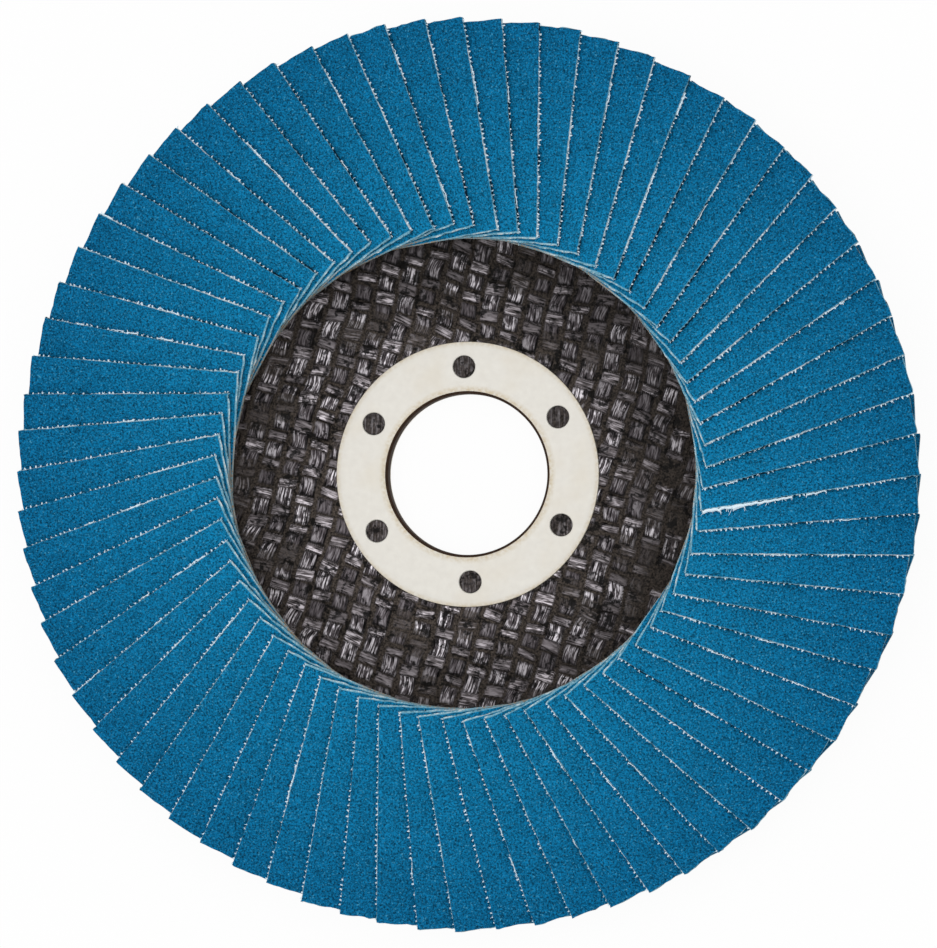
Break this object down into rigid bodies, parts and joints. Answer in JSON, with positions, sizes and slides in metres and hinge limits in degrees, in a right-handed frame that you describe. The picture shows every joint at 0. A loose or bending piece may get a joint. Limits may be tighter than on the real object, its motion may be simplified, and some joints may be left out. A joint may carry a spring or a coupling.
{
  "type": "flap disc",
  "caption": "Flat abrasive flap disc: overlapping blue cloth flaps on a black woven fibre plate with a dished hub and a metal arbor ring.",
  "frame": {"origin": "on the bore axis, in the plane of the hub's back face, where the grinder's inner flange seats", "axes": "+Z along the bore axis, towards the working side with the flaps; X and Y across the disc"},
  "size_m": [0.125, 0.125, 0.0105],
  "materials": {
    "ring_metal": "satin",
    "glass_fibre_plate": "woven glass fibre in black resin",
    "adhesive": "cured adhesive",
    "abrasive_cloth": "blue abrasive grain on cloth"
  },
  "bodies": {
    "root": {"arbor_ring": "ring_metal", "backing_plate": "glass_fibre_plate", "adhesive_bed": "adhesive", "flap_pair_01": "abrasive_cloth", "flap_pair_02": "abrasive_cloth", "flap_pair_03": "abrasive_cloth", "flap_pair_04": "abrasive_cloth", "flap_pair_05": "abrasive_cloth", "flap_pair_06": "abrasive_cloth", "flap_pair_07": "abrasive_cloth", "flap_pair_08": "abrasive_cloth", "flap_pair_09": "abrasive_cloth", "flap_pair_10": "abrasive_cloth", "flap_pair_11": "abrasive_cloth", "flap_pair_12": "abrasive_cloth", "flap_pair_13": "abrasive_cloth", "flap_pair_14": "abrasive_cloth", "flap_pair_15": "abrasive_cloth", "flap_pair_16": "abrasive_cloth", "flap_pair_17": "abrasive_cloth", "flap_pair_18": "abrasive_cloth", "flap_pair_19": "abrasive_cloth", "flap_pair_20": "abrasive_cloth", "flap_pair_21": "abrasive_cloth", "flap_pair_22": "abrasive_cloth", "flap_pair_23": "abrasive_cloth", "flap_pair_24": "abrasive_cloth", "flap_pair_25": "abrasive_cloth", "flap_pair_26": "abrasive_cloth", "flap_pair_27": "abrasive_cloth", "flap_pair_28": "abrasive_cloth", "flap_pair_29": "abrasive_cloth", "flap_pair_30": "abrasive_cloth", "flap_pair_31": "abrasive_cloth", "flap_pair_32": "abrasive_cloth", "flap_pair_33": "abrasive_cloth", "flap_pair_34": "abrasive_cloth", "flap_pair_35": "abrasive_cloth", "flap_pair_36": "abrasive_cloth"}
  },
  "joints": []
}
